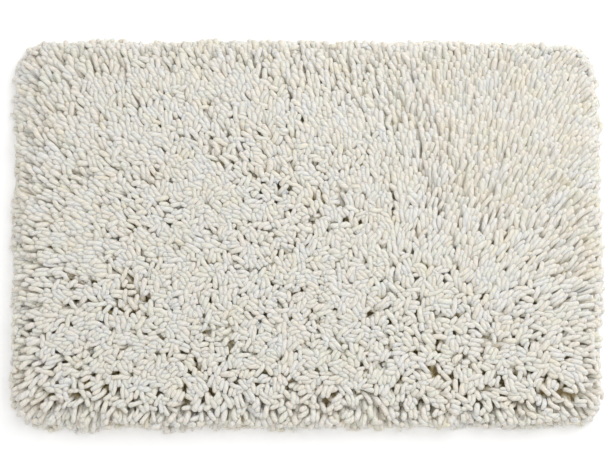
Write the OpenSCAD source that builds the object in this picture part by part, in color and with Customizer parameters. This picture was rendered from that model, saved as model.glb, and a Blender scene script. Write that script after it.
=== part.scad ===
// Shaggy cut-pile bath mat: rows of thick yarn tufted through a woven cloth, with a rubber coat
// on the back and a tape bound round the cut edge. The origin is on the floor, below the middle.

/* [Mat] */
// Overall length over the pile
mat_l = 762; // [600:1:900]
// Overall width over the pile
mat_w = 508; // [400:1:650]
// Height from the floor to the top of the pile
mat_h = 30; // [24:0.5:45]
// Corner radius of the base cloth
cloth_r = 34; // [25:1:60]

/* [Pile] */
// Reach of the pile past the bound edge
pile_reach = 12; // [5:0.5:20]
// Rounding of the pile's upper edge
top_round = 14; // [6:0.5:16]
// Rounding of the pile's lower edge
foot_round = 4; // [2:0.5:5]
// Height of the lowest edge pile above the floor
foot_z = 1; // [0.5:0.25:2]
// Gap between two neighbouring groups of rows
group_gap = 0.4; // [0.2:0.1:1]

/* [Backing] */
// Thickness of the woven base cloth
cloth_t = 1; // [0.6:0.1:2]
// Width of a back stitch, pressed flat
back_w = 4; // [2.5:0.5:6]
// Thickness of a back stitch
back_t = 1.2; // [0.8:0.1:2]
// Rubber left below the back stitches
coat_skin = 0.6; // [0.4:0.1:2]

/* [Hem] */
// Width of the tape below the mat
tape_w = 22; // [14:1:35]
// Width of the tape on top of the cloth
tape_top_w = 8; // [4:0.5:12]
// Thickness of the tape
tape_t = 1; // [0.6:0.1:1.5]
// Distance of each seam from the tape's edge
seam_inset = 3; // [2:0.5:5]
// Width of the sewing thread
thread_w = 0.8; // [0.4:0.1:1.2]
// Depth of the sewing thread in the cloth
thread_t = 0.3; // [0.2:0.05:0.4]

/* [Care label] */
// Length of the label along the hem
label_l = 46; // [25:1:80]
// Width of the label across the hem
label_w = 30; // [20:1:50]
// Thickness of the label
label_t = 0.5; // [0.45:0.05:0.55]
// Place of the label's middle along the hem
label_x = 230; // [-240:1:240]
// Overlap of the label on the hem tape
label_lap = 9; // [6:0.5:12]
// Distance between the label's two seams
label_seam_gap = 4; // [2.5:0.5:5]

/* [Hidden] */
groups = 16;        // nodes of pile
rows_per_group = 3; // tufted rows in each
arc_steps = 6;      // facets of a quarter round in the pile's edge
over = 1;           // how far a cutting solid passes the face that it cuts

coat_t = tape_t + coat_skin + back_t;   // the tape lies in a rebate of the coat, flush with it
cloth_z = coat_t;                       // underside of the cloth
pile_z = cloth_z + cloth_t;             // top of the cloth, where the pile stands
edge_l = mat_l - 2 * pile_reach;        // bound edge, outside the tape
edge_w = mat_w - 2 * pile_reach;
cloth_l = edge_l - 2 * tape_t;
cloth_w = edge_w - 2 * tape_t;
root_inset = tape_t + tape_top_w;       // the outermost tufts stand just inside the tape
root_w = edge_w - 2 * root_inset;       // from the first row's edge to the last one's
gauge = root_w / (groups * rows_per_group);
group_w = mat_w / groups;
label_y = tape_w - edge_w / 2 - label_lap; // outer end of the label, on the front hem tape

function two_digits(i) = str(i < 10 ? "0" : "", i);
function group_name(i) = str("pile_rows_", two_digits(i));

$fn = 48;

// Rectangle with round corners, its middle at the origin and its sides moved in by inset.
module round_rect(inset) {
    l = edge_l - 2 * inset;
    w = edge_w - 2 * inset;
    r = max(cloth_r + tape_t - inset, 1);
    square([l - 2 * r, w], center = true);
    square([l, w - 2 * r], center = true);
    for (x = [-1, 1], y = [-1, 1])
        translate([x * (l / 2 - r), y * (w / 2 - r)]) circle(r);
}

module slab(inset, z0, z1) {
    translate([0, 0, z0]) linear_extrude(z1 - z0) round_rect(inset);
}

module ring(inset0, inset1, z0, z1) {
    difference() {
        slab(inset0, z0, z1);
        slab(inset1, z0 - over, z1 + over);
    }
}

// Half the length of a tufted row at y: shorter where it runs into the round corners.
function row_half(y) =
    let (r = max(cloth_r + tape_t - root_inset, 1), past = abs(y) - (root_w / 2 - r))
    edge_l / 2 - root_inset - r + (past > 0 ? sqrt(r * r - past * past) : r);

function row_y(i, k) = ((i - 1) * rows_per_group + k + 0.5) * gauge - root_w / 2;

// The flat back stitches of one group of rows, in the coat and against the cloth.
module back_stitches(i) {
    for (k = [0:rows_per_group - 1]) {
        y = row_y(i, k);
        half = row_half(y);
        translate([-half, y - back_w / 2, cloth_z - back_t]) cube([2 * half, back_w, back_t]);
    }
}

// Section of the pile from a corner's axis out to its tips, with a round top and a round foot.
function quarter(cx, cz, r, a0) =
    [for (s = [0:arc_steps]) let (a = a0 + 90 * s / arc_steps) [cx + r * cos(a), cz + r * sin(a)]];

module pile_section(r) {
    polygon(concat(
        [[0, mat_h], [0, foot_z]],
        quarter(r - foot_round, foot_z + foot_round, foot_round, -90),
        quarter(r - top_round, mat_h - top_round, top_round, 0)
    ));
}

// The whole pile as one cushion, down to its foot outside the bound edge.
module pile_cushion() {
    r = cloth_r + tape_t + pile_reach;
    x = mat_l / 2 - r;
    y = mat_w / 2 - r;
    for (a = [0:3]) {
        side = a % 2 == 0 ? [x, y] : [y, x];
        rotate([0, 0, 90 * a]) {
            translate([side[0], side[1], 0]) rotate_extrude(angle = 90) pile_section(r);
            translate([side[0], side[1], 0]) rotate([90, 0, 0]) linear_extrude(2 * side[1]) pile_section(r);
        }
    }
    translate([-x, -y, foot_z]) cube([2 * x, 2 * y, mat_h - foot_z]);
}

// Label and its seams, on the tape of the front edge. Cuts are a little deeper.
module label_plate(below = 0) {
    translate([label_x - label_l / 2, label_y, -below]) cube([label_l, label_w, label_t + below]);
}

module label_seams(below = 0) {
    for (k = [0, 1])
        translate([label_x - label_l / 2 + thread_w, label_y + thread_w + k * label_seam_gap, -below])
            cube([label_l - 2 * thread_w, thread_w, thread_t + below]);
}

// The two seams round the hem. The inner one stops at the label, which covers it.
module hem_seams(below = 0) {
    difference() {
        for (inset = [seam_inset, tape_w - seam_inset])
            ring(inset - thread_w / 2, inset + thread_w / 2, -below, thread_t);
        label_plate(over);
    }
}

module base_cloth() {
    color("antiquewhite") slab(tape_t, cloth_z, pile_z);
}

module rubber_coat() {
    color("ivory") difference() {
        slab(tape_t, 0, coat_t);
        ring(-over, tape_w, -over, tape_t);
        for (i = [1:groups]) back_stitches(i);
        label_plate(over);
    }
}

module hem_tape() {
    color("linen") difference() {
        union() {
            slab(0, 0, tape_t);
            ring(0, tape_t, tape_t, pile_z);
            ring(0, root_inset, pile_z, pile_z + tape_t);
        }
        slab(tape_w, -over, tape_t + over);
        hem_seams(over);
        label_plate(over);
    }
}

module hem_threads() {
    color("white") hem_seams();
}

module care_label() {
    color("white") difference() {
        label_plate();
        label_seams(over);
    }
}

module label_threads() {
    color("gainsboro") label_seams();
}

// Each group keeps half a gap to its neighbours, and the two outer ones keep their outer side.
module pile_rows(i) {
    y0 = i == 1 ? -mat_w : (i - 1) * group_w - mat_w / 2 + group_gap / 2;
    y1 = i == groups ? mat_w : i * group_w - mat_w / 2 - group_gap / 2;
    color("ivory") {
        difference() {
            intersection() {
                pile_cushion();
                translate([-mat_l, y0, 0]) cube([2 * mat_l, y1 - y0, 2 * mat_h]);
            }
            slab(0, -over, pile_z);
            ring(0, root_inset, pile_z - over, pile_z + tape_t);
        }
        back_stitches(i);
    }
}

base_cloth();
rubber_coat();
hem_tape();
hem_threads();
care_label();
label_threads();
for (i = [1:groups])
    pile_rows(i);
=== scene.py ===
import math
import time

import bpy
import numpy as np
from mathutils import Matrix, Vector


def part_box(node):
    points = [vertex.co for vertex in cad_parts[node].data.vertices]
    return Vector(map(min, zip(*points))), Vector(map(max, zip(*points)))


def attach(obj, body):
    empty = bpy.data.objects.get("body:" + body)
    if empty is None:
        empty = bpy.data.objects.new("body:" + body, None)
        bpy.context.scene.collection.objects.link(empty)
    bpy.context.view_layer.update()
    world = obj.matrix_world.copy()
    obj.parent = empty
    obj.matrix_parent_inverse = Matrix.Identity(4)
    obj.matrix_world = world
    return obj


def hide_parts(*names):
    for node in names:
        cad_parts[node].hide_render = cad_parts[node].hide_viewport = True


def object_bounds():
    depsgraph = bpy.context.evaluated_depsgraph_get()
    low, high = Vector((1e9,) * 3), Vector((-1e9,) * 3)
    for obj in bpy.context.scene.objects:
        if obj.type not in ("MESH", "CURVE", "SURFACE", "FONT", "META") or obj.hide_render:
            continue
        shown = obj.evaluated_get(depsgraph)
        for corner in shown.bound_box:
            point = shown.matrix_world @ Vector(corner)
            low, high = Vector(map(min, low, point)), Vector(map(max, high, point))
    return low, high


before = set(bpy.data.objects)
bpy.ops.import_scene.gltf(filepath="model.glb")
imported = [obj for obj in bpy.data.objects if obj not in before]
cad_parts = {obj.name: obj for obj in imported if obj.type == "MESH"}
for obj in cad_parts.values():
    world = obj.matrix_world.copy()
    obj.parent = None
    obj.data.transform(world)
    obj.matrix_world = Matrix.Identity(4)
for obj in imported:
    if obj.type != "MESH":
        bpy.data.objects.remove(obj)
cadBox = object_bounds()
started = time.perf_counter()


def report(stage):
    print(f"{stage}: {time.perf_counter() - started:.1f} s")


# Sizes taken from the frame
clothLow, clothHigh = (np.array(v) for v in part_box("base_cloth"))
tapeHigh = np.array(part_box("hem_tape")[1])
boundHalf = tapeHigh[:2]                      # half size of the bound edge
clothUnder, clothTop = clothLow[2], clothHigh[2]

mat = {
    "clothRadius": 0.034,     # corner radius of the base cloth
    "rootInset": 0.009,       # from the bound edge to the first tufts
    "groups": 16,             # pile_rows nodes
    "rowsPerGroup": 3,
}
tapeThick = tapeHigh[0] - clothHigh[0]
outlineHalf = np.array(cadBox[1][:2])         # half size of the whole mat


def cornerDistance(x, y, half, radius):
    # Signed distance to a round-cornered rectangle, with q = |p| - half + r:
    # the length of max(q, 0), plus min(max(qx, qy), 0), less r
    qx = np.abs(x) - (half[0] - radius)
    qy = np.abs(y) - (half[1] - radius)
    outside = np.hypot(np.maximum(qx, 0), np.maximum(qy, 0))
    return outside + np.minimum(np.maximum(qx, qy), 0) - radius


def edgeDistance(x, y):
    # Distance outside the bound edge, negative on the mat
    return cornerDistance(x, y, boundHalf, mat["clothRadius"] + tapeThick)


def outward(x, y):
    # Unit vector away from the mat's middle line: the gradient of edgeDistance
    step = 0.001
    gx = edgeDistance(x + step, y) - edgeDistance(x - step, y)
    gy = edgeDistance(x, y + step) - edgeDistance(x, y - step)
    size = np.maximum(np.hypot(gx, gy), 1e-9)
    return gx / size, gy / size


def unit(v):
    # Each vector divided by its own length
    return v / np.maximum(np.linalg.norm(v, axis=-1, keepdims=True), 1e-12)


def smoothStep(low, high, value):
    # 3 t^2 - 2 t^3, with t going from 0 at low to 1 at high
    t = np.clip((value - low) / (high - low), 0, 1)
    return t * t * (3 - 2 * t)


pile = {
    "seed": 7,
    "pitch": 0.0119,          # between two needle holes of a row
    "holeJitter": 0.0009,
    "needleShake": 0.0002,    # of each leg in its hole
    "ringShake": 0.0003,      # the same in the row round the outside
    "legLength": 0.0390,      # from the cloth to the cut end
    "shrunk": 0.19,           # share lost by legs that stand, curled up in the wash
    "lengthSpread": 0.09,     # share, standard deviation
    "yarnRadius": 0.00370,    # as drawn
    "contactRadius": 0.00272,  # where it meets its neighbours: yarn is soft
    "radiusSpread": 0.10,
    "nodes": 10,              # points along a leg, the first one in its needle hole
    "splay": 0.0014,          # the two legs of a hole stand this far either side of it
    # hands that smoothed the pile: place in m, heading in degrees, lean from 0 upright to 1 flat
    "strokes": [
        (-0.345, 0.205, 118, 0.60), (-0.340, 0.090, 140, 0.62), (-0.345, 0.000, 160, 0.55),
        (-0.340, -0.110, 185, 0.35), (-0.330, -0.210, 235, 0.30),
        (-0.240, 0.190, 108, 0.55), (-0.230, 0.100, 142, 0.35), (-0.230, 0.010, 150, 0.38),
        (-0.220, -0.080, 130, 0.25), (-0.210, -0.200, 262, 0.15),
        (-0.110, 0.200, 112, 0.50), (-0.120, 0.100, 128, 0.30), (-0.100, 0.010, 158, 0.32),
        (-0.100, -0.090, 110, 0.12), (-0.090, -0.200, 275, 0.15),
        (0.010, 0.200, 95, 0.50), (0.020, 0.100, 110, 0.32), (0.010, 0.000, 60, 0.15),
        (0.020, -0.100, 150, 0.15), (0.020, -0.200, 280, 0.10),
        (0.110, 0.190, 110, 0.62), (0.110, 0.100, 125, 0.55), (0.110, 0.000, 110, 0.42),
        (0.120, -0.100, 130, 0.22), (0.120, -0.200, 265, 0.08),
        (0.200, 0.190, 92, 0.72), (0.200, 0.100, 92, 0.72), (0.200, 0.000, 66, 0.60),
        (0.220, -0.100, 75, 0.28), (0.220, -0.200, 290, 0.06),
        (0.290, 0.190, 78, 0.72), (0.290, 0.100, 72, 0.70), (0.290, 0.000, 58, 0.62),
        (0.300, -0.100, 40, 0.30), (0.310, -0.200, 305, 0.20),
        (0.345, 0.190, 66, 0.66), (0.345, 0.090, 55, 0.66), (0.345, 0.000, 35, 0.62),
        (0.345, -0.110, 8, 0.55),
    ],
    "strokeReach": 0.055,
    "strokeLean": 1.42,
    "patchLean": 0.12,        # soft random patches
    "patchSize": 0.045,
    "loneLean": 0.36,         # each tuft by itself
    "unruly": (1.25, 1.35, 0.14),  # share of both: most, less this times the lean, and least
    "mostLean": 0.93,
    "evenRounds": 60,
    "evenReach": 0.0096,      # tips closer than this lean apart
    "evenPush": 0.22,
    "evenHold": 0.03,         # pull back to the lean they began with
    "edgeReach": 0.045,       # how far in from the edge the pile leans out
    "edgeLean": 0.80,
    "edgeCombed": 0.6,        # share of its other lean that the edge loses
    "edgeDroop": 0.62,        # and over the edge
    "edgeTrim": 0.25,         # share cut off the legs there
    "edgePitch": 0.0100,      # the row round the outside that hides the bound edge
    "edgeRowGap": 0.0046,     # from that row to the ends of the others
}


def roundPath(half, radius, pitch):
    # Points about pitch apart, once round a round-cornered rectangle, with the way out at each point
    # and its distance from the first
    straight = half - radius
    turn = math.pi / 2 * radius
    lengths = np.array([2 * straight[1], turn, 2 * straight[0], turn] * 2)
    ends = np.cumsum(lengths)
    count = int(ends[-1] / pitch)
    far = np.arange(count) * ends[-1] / count
    part = np.searchsorted(ends, far, "right")
    t = (far - (ends - lengths)[part]) / lengths[part]
    corner = np.array([[1, -1], [1, 1], [1, 1], [-1, 1], [-1, 1], [-1, -1], [-1, -1], [1, -1]]) * straight
    heading = np.array([0, 0, 1, 1, 2, 2, 3, 3])[part] * math.pi / 2
    straightRun = part % 2 == 0
    angle = heading + np.where(straightRun, 0, t * math.pi / 2)
    middle = corner[part]
    run = np.array([[0, 1], [0, 0], [-1, 0], [0, 0], [0, -1], [0, 0], [1, 0], [0, 0]])[part]
    middle = middle + run * (t * lengths[part])[:, None]
    facing = np.stack([np.cos(angle), np.sin(angle)], -1)
    return middle + radius * facing, facing, far


def plantTufts(rng):
    # Rows along X, gauge apart; in a row, holes pitch apart. A tuft goes from each hole to the next.
    # One more row follows the edge all round. Returns each tuft's row, the places of its two legs,
    # and where the rows and stitches lie, for the rubber that covers them.
    rows = mat["groups"] * mat["rowsPerGroup"]
    rootHalf = boundHalf - mat["rootInset"]
    radius = mat["clothRadius"] + tapeThick - mat["rootInset"]
    gauge = 2 * rootHalf[1] / rows
    rowY = (np.arange(rows) + 0.5) * gauge - rootHalf[1]
    past = np.maximum(np.abs(rowY) - (rootHalf[1] - radius), 0)
    halfLength = rootHalf[0] - radius + np.sqrt(radius ** 2 - past ** 2) - pile["edgeRowGap"]
    counts = (2 * halfLength / pile["pitch"]).astype(int)
    rowOf = np.repeat(np.arange(rows), counts)
    place = np.arange(len(rowOf)) - np.repeat(np.cumsum(counts) - counts, counts)
    fitted = (2 * halfLength / counts)[rowOf]               # pitch stretched to fill the row
    x0 = (place - counts[rowOf] / 2) * fitted
    x = np.stack([x0, x0 + fitted], 1)
    y = np.repeat(rowY[rowOf][:, None], 2, 1)
    hole = pile["holeJitter"]
    wobbleX = hole * np.sin(x * 911.0 + y * 377.0)          # the same at both tufts of a hole
    wobbleY = hole * np.sin(x * 613.0 - y * 829.0 + 1.0)
    x = x + wobbleX + np.array([1, -1]) * pile["splay"]
    y = y + wobbleY + rng.normal(0, pile["needleShake"], y.shape)
    ring, _, _ = roundPath(rootHalf - 0.0004, radius, pile["edgePitch"])
    nextHole = np.roll(ring, -1, 0)
    along = (nextHole - ring) * 0.25                        # legs evenly spaced along this row
    shake = rng.normal(0, pile["ringShake"], (len(ring), 2, 2))
    ring = np.stack([ring + along, nextHole - along], 1) + shake
    ringRow = ((ring[:, 0, 1] + rootHalf[1]) / gauge).astype(int).clip(0, rows - 1)
    rowPlan = {"y": rowY, "half": halfLength, "pitch": 2 * halfLength / counts,
               "gauge": gauge, "first": rootHalf[1]}
    places = np.concatenate([np.stack([x, y], -1), ring])
    return np.concatenate([rowOf, ringRow]), places, rowPlan


def softNoise(x, y, size, rng):
    # Sum of plane waves of random heading and phase, each 1.4 to 3.2 sizes long, about unit variance
    waves = 14
    heading = rng.uniform(0, 2 * math.pi, waves)
    wave = 2 * math.pi / (size * rng.uniform(1.4, 3.2, waves))
    phase = rng.uniform(0, 2 * math.pi, waves)
    total = np.zeros_like(x)
    for h, k, p in zip(heading, wave, phase):
        total += np.sin(k * (x * math.cos(h) + y * math.sin(h)) + p)
    return total * math.sqrt(2 / waves)


def closePairs(points, leg, reach):
    # Points sorted into cells of side reach; each cell is matched with itself and the 13 cells ahead of it
    cell = np.floor(points / reach).astype(np.int64)
    cell -= cell.min(0) - 1
    size = cell.max(0) + 2
    key = (cell[:, 0] * size[1] + cell[:, 1]) * size[2] + cell[:, 2]
    order = np.argsort(key, kind="stable")
    sortedKey = key[order]
    ahead = [(dx, dy, dz) for dx in (-1, 0, 1) for dy in (-1, 0, 1) for dz in (-1, 0, 1)]
    ahead = [o for o in ahead if o > (0, 0, 0)]
    first, second = [], []
    index = np.arange(len(order))
    for dx, dy, dz in [(0, 0, 0)] + ahead:
        wanted = sortedKey + (dx * size[1] + dy) * size[2] + dz
        low = np.searchsorted(sortedKey, wanted, "left")
        high = np.searchsorted(sortedKey, wanted, "right")
        if (dx, dy, dz) == (0, 0, 0):
            low = index + 1
        count = np.maximum(high - low, 0)
        a = np.repeat(index, count)
        within = np.arange(len(a)) - np.repeat(np.cumsum(count) - count, count)
        b = np.repeat(low, count) + within
        a, b = order[a], order[b]
        keep = leg[a] != leg[b]
        a, b = a[keep], b[keep]
        gap = points[a] - points[b]
        near = np.einsum("ij,ij->i", gap, gap) < reach * reach
        first.append(a[near])
        second.append(b[near])
    return np.concatenate(first), np.concatenate(second)


def evenTips(root, leanX, leanY):
    # Tips that would end close together lean apart, so that the pile closes over the cloth everywhere
    start = np.stack([leanX, leanY], -1) * pile["legLength"]
    offset = start.copy()
    leg = np.arange(len(root))
    tip = np.zeros((len(root), 3))
    for _ in range(pile["evenRounds"]):
        tip[:, :2] = root + offset
        a, b = closePairs(tip, leg, pile["evenReach"])
        gap = tip[a, :2] - tip[b, :2]
        far = np.hypot(gap[:, 0], gap[:, 1]) + 1e-9
        push = gap * ((pile["evenReach"] - far) / far * pile["evenPush"])[:, None]
        for axis in range(2):
            given = np.bincount(a, push[:, axis], len(root))
            taken = np.bincount(b, push[:, axis], len(root))
            offset[:, axis] += given - taken
        offset += (start - offset) * pile["evenHold"]
    return offset[:, 0] / pile["legLength"], offset[:, 1] / pile["legLength"]


def layOf(x, y, rng):
    # Lean of each leg: strokes blended by distance, plus patches, plus its own, plus outwards at the edge
    sx = np.zeros_like(x)
    sy = np.zeros_like(x)
    total = np.full_like(x, 1e-6)
    for px, py, heading, lean in pile["strokes"]:
        weight = np.exp(-((x - px) ** 2 + (y - py) ** 2) / (2 * pile["strokeReach"] ** 2))
        sx += weight * lean * pile["strokeLean"] * math.cos(math.radians(heading))
        sy += weight * lean * pile["strokeLean"] * math.sin(math.radians(heading))
        total += weight
    leanX, leanY = sx / total, sy / total
    most, less, least = pile["unruly"]
    unruly = np.maximum(most - less * np.hypot(leanX, leanY), least)  # well combed pile keeps its lay
    leanX += pile["patchLean"] * unruly * softNoise(x, y, pile["patchSize"], rng)
    leanY += pile["patchLean"] * unruly * softNoise(x, y, pile["patchSize"], rng)
    leanX += rng.normal(0, pile["loneLean"], x.shape) * unruly
    leanY += rng.normal(0, pile["loneLean"], x.shape) * unruly
    nx, ny = outward(x, y)
    edge = smoothStep(-pile["edgeReach"], -mat["rootInset"], edgeDistance(x, y))
    combed = 1 - pile["edgeCombed"] * edge
    leanX = leanX * combed + nx * edge * pile["edgeLean"]
    leanY = leanY * combed + ny * edge * pile["edgeLean"]
    leanX, leanY = evenTips(np.stack([x, y], -1), leanX, leanY)
    size = np.hypot(leanX, leanY)
    most = pile["mostLean"]
    keep = np.where(size > most, most / np.maximum(size, 1e-9), 1)
    return leanX * keep, leanY * keep, edge


rods = {
    "rounds": 200,
    "pairsEvery": 7,
    "skin": 0.0016,           # pairs are kept a little past touching
    "aim": 0.10,              # pull of each piece of yarn towards its lay
    "bend": 0.30,             # resistance to bending
    "sag": 0.00006,           # drop in each round
    "curl": 0.30,             # each yarn's own set
    "curlLess": (1.25, 1.1, 0.25),  # share of it kept: most, less this times the lean, and least
    "spread": (1.25, 1.0),    # the yarns begin too thick, which fills the bare places, and shrink
    "ceiling": (0.036, 0.0278),  # a flat hand comes down on the pile, from and to
    "press": 0.25,
    "cell": 0.0022,
    "drift": 0.0050,          # yarns move from crowded places to bare ones
    "driftMost": 0.0008,      # in one round
    "blurs": ((3, 1.0), (12, 2.5)),  # near bare places, then wide ones
    "trim": (0.0008, 0.0024),  # kept inside the outline by this much
    "fence": 0.0455,          # corner radius of the outline the edge pile was trimmed to
    "fenceSpread": 0.0032,    # of single yarns past that outline
    "fenceLimits": (-0.009, 0.0055),
    "fencePush": 0.35,
    "wander": 0.0011,         # the outline is not quite straight
    "wanderSize": 0.05,
    "narrow": 0.0040,         # and drawn in at one end
    "lid": 0.0262,            # no yarn's middle ends above this
    "lidSoft": 0.0008,
}


def crowding(flat, weight):
    # How steeply the pile thickens in x and y at each point: blurred count of points on a fine grid
    cell = rods["cell"]
    half = outlineHalf + 0.03
    place = (flat[:, :2] + half) / cell
    size = (2 * half / cell).astype(int) + 2
    index = place.astype(int)
    flatIndex = index[:, 0] * size[1] + index[:, 1]
    cover = np.bincount(flatIndex, weight, size[0] * size[1]).reshape(size)
    slope = np.zeros((2, cover.size))
    for passes, share in rods["blurs"]:                               # short box blurs in a row make a bell
        for _ in range(passes):
            for axis in range(2):
                cover = (cover + np.roll(cover, 1, axis) + np.roll(cover, -1, axis)) / 3
        common = cover[cover > cover.mean()].mean()
        slope += share / common * np.array(np.gradient(cover)).reshape(2, -1)
    return slope[:, flatIndex]


def eased(name, ease):
    # A value on its way from the first to the second of its pair
    first, last = rods[name]
    return first + (last - first) * ease


def aimYarns(point, lay, curl, droop, segment):
    # Each point goes a share of the way to where it would be if its piece of yarn pointed along its lay:
    # upright in the hole, then over, with its own curl, and drooping at the edge
    nodes = len(point)
    for k in range(1, nodes):
        turn = min(1, k / 2.5)
        rising = np.array([0, 0, 1 - turn])
        way = unit(lay * turn + rising + curl * (2 * k / nodes - 0.4) - droop * (k / nodes) ** 1.5)
        wish = point[k - 1] + way * segment[:, None]
        point[k] += (wish - point[k]) * rods["aim"]


def unbend(point):
    # Three points in a row move towards one line: kink = next - 2 x this + last
    for k in range(1, len(point) - 1):
        kink = point[k + 1] - 2 * point[k] + point[k - 1]
        point[k + 1] -= kink * (rods["bend"] * 0.25)
        point[k] += kink * (rods["bend"] * 0.5)
        if k > 1:
            point[k - 1] -= kink * (rods["bend"] * 0.25)


def pushApart(flat, a, b, room):
    # Points a and b nearer than room each move half of what is missing; less where many push one point
    gap = flat[a] - flat[b]
    far = np.sqrt(np.einsum("ij,ij->i", gap, gap)) + 1e-12
    push = np.maximum(room - far, 0) / far * 0.5
    touching = push > 0
    a, b, shift = a[touching], b[touching], gap[touching] * push[touching, None]
    count = np.bincount(a, minlength=len(flat)) + np.bincount(b, minlength=len(flat))
    share = 1.25 / np.maximum(count, 1) ** 0.75
    for axis in range(3):
        away = np.bincount(a, shift[:, axis], len(flat))
        back = np.bincount(b, shift[:, axis], len(flat))
        flat[:, axis] += (away - back) * share


def keepLength(point, segment):
    # Each piece of yarn goes back to its own length, and the roots stay
    for k in range(1, len(point)):
        along = point[k] - point[k - 1]
        far = np.linalg.norm(along, axis=1)
        fix = along * ((far - segment) / far)[:, None]
        if k == 1:
            point[k] -= fix
        else:
            point[k] -= fix * 0.6
            point[k - 1] += fix * 0.4


def layPile(root, leanX, leanY, atEdge, length, radius, rng):
    # Each round: aim, bend, sag, push touching yarns apart, drift to bare places, keep the length,
    # stay above the cloth or floor, inside the trimmed outline and below the hand that presses
    legs = len(root)
    nodes = pile["nodes"]
    segment = length / (nodes - 1)
    up = np.sqrt(np.maximum(1 - leanX ** 2 - leanY ** 2, 0.02))
    lay = np.stack([leanX, leanY, up], -1)
    rise = np.linspace(0, 1, nodes)
    point = np.zeros((nodes, legs, 3))
    point[0, :, :2] = root
    point[0, :, 2] = clothTop
    start = unit(np.stack([leanX * 0.35, leanY * 0.35, np.ones(legs)], -1))
    for k in range(1, nodes):
        turn = min(1, k / 3.0)
        point[k] = point[k - 1] + unit(start * (1 - turn) + lay * turn) * segment[:, None]
    curl = rng.normal(0, rods["curl"], (legs, 3)) * np.array([1, 1, 0.3])
    most, less, least = rods["curlLess"]
    curl *= (most - less * np.hypot(leanX, leanY)).clip(least, 1)[:, None]
    leg = np.tile(np.arange(legs), nodes - 1)
    grown = np.tile(radius, nodes - 1)
    fence = np.tile(rng.normal(0, rods["fenceSpread"], legs).clip(*rods["fenceLimits"]), nodes - 1)
    wander = rods["wander"] * softNoise(root[:, 0], root[:, 1], rods["wanderSize"], rng)
    drawnIn = rods["narrow"] * smoothStep(0.0, 0.36, root[:, 0]) * (abs(root[:, 1]) > 0.15)
    wander = np.tile(wander + drawnIn, nodes - 1)
    upper = np.repeat(smoothStep(0.25, 0.7, rise[1:]), legs)          # the ends drift, not the feet
    inHole = np.repeat(np.arange(1, nodes) == 1, legs)
    inside = np.tile(1 - 0.6 * atEdge, nodes - 1)
    droop = pile["edgeDroop"] * (atEdge ** 2)[:, None] * np.array([0, 0, 1])
    rounds, most = rods["rounds"], rods["driftMost"]
    for n in range(rounds):
        ease = min(1, (n + 1) / (0.45 * rounds))
        aimYarns(point, lay, curl, droop, segment)
        unbend(point)
        point[2:, :, 2] -= rods["sag"] * ease * rise[2:, None] * 2
        flat = point[1:].reshape(-1, 3)                               # a view: the roots never move
        if n % rods["pairsEvery"] == 0:
            a, b = closePairs(flat, leg, 2 * pile["contactRadius"] * 1.3 + rods["skin"])
            room = grown[a] + grown[b]
        for _ in range(2):
            pushApart(flat, a, b, room * eased("spread", ease))
        if n < 0.8 * rounds:
            crowdX, crowdY = crowding(flat, upper)
            flat[:, 0] -= (crowdX * inside * rods["drift"]).clip(-most, most) * upper
            flat[:, 1] -= (crowdY * inside * rods["drift"]).clip(-most, most) * upper
        for _ in range(2):
            keepLength(point, segment)
        onMat = 1 - smoothStep(-0.002, 0.003, edgeDistance(flat[:, 0], flat[:, 1]))
        ground = grown + onMat * (clothTop + tapeThick)
        flat[:, 2] = np.where(inHole, flat[:, 2], np.maximum(flat[:, 2], ground))
        beyond = cornerDistance(flat[:, 0], flat[:, 1], outlineHalf - np.array(rods["trim"]), rods["fence"])
        beyond += grown - fence + wander
        pushX, pushY = outward(flat[:, 0], flat[:, 1])
        beyond = np.maximum(beyond, 0) * rods["fencePush"]
        flat[:, 0] -= pushX * beyond
        flat[:, 1] -= pushY * beyond
        top = eased("ceiling", ease) - grown
        flat[:, 2] -= np.maximum(flat[:, 2] - top, 0) * rods["press"]
    for k in range(1, nodes):                                         # last, the true length, root first
        along = point[k] - point[k - 1]
        point[k] = point[k - 1] + along / np.linalg.norm(along, axis=1, keepdims=True) * segment[:, None]
    over = (point[1:, :, 2] - rods["lid"]) / rods["lidSoft"]
    point[1:, :, 2] -= rods["lidSoft"] * np.logaddexp(0, over)
    drawn = radius / pile["contactRadius"] * pile["yarnRadius"]
    point[1:, :, 2] = np.maximum(point[1:, :, 2], drawn * 1.12)       # clear of the floor as drawn
    return point.transpose(1, 0, 2)                                   # legs, nodes, xyz


rng = np.random.default_rng(pile["seed"])
tuftRow, roots, rowPlan = plantTufts(rng)
tufts = len(tuftRow)
rootLegs = roots.reshape(-1, 2)
leanX, leanY, atEdge = layOf(rootLegs[:, 0], rootLegs[:, 1], rng)
legLength = pile["legLength"] * (1 + pile["lengthSpread"] * rng.normal(0, 1, 2 * tufts).clip(-2.2, 2.2))
legLength *= 1 - pile["edgeTrim"] * atEdge
standing = 1 - smoothStep(0.2, 0.75, np.hypot(leanX, leanY))
legLength *= 1 - pile["shrunk"] * (1 - atEdge) * standing
legThick = np.repeat(1 + pile["radiusSpread"] * rng.normal(0, 1, tufts).clip(-2, 2), 2)
report(f"{tufts} tufts planted")
legs = layPile(rootLegs, leanX, leanY, atEdge, legLength, pile["contactRadius"] * legThick, rng)
report("pile laid")


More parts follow.
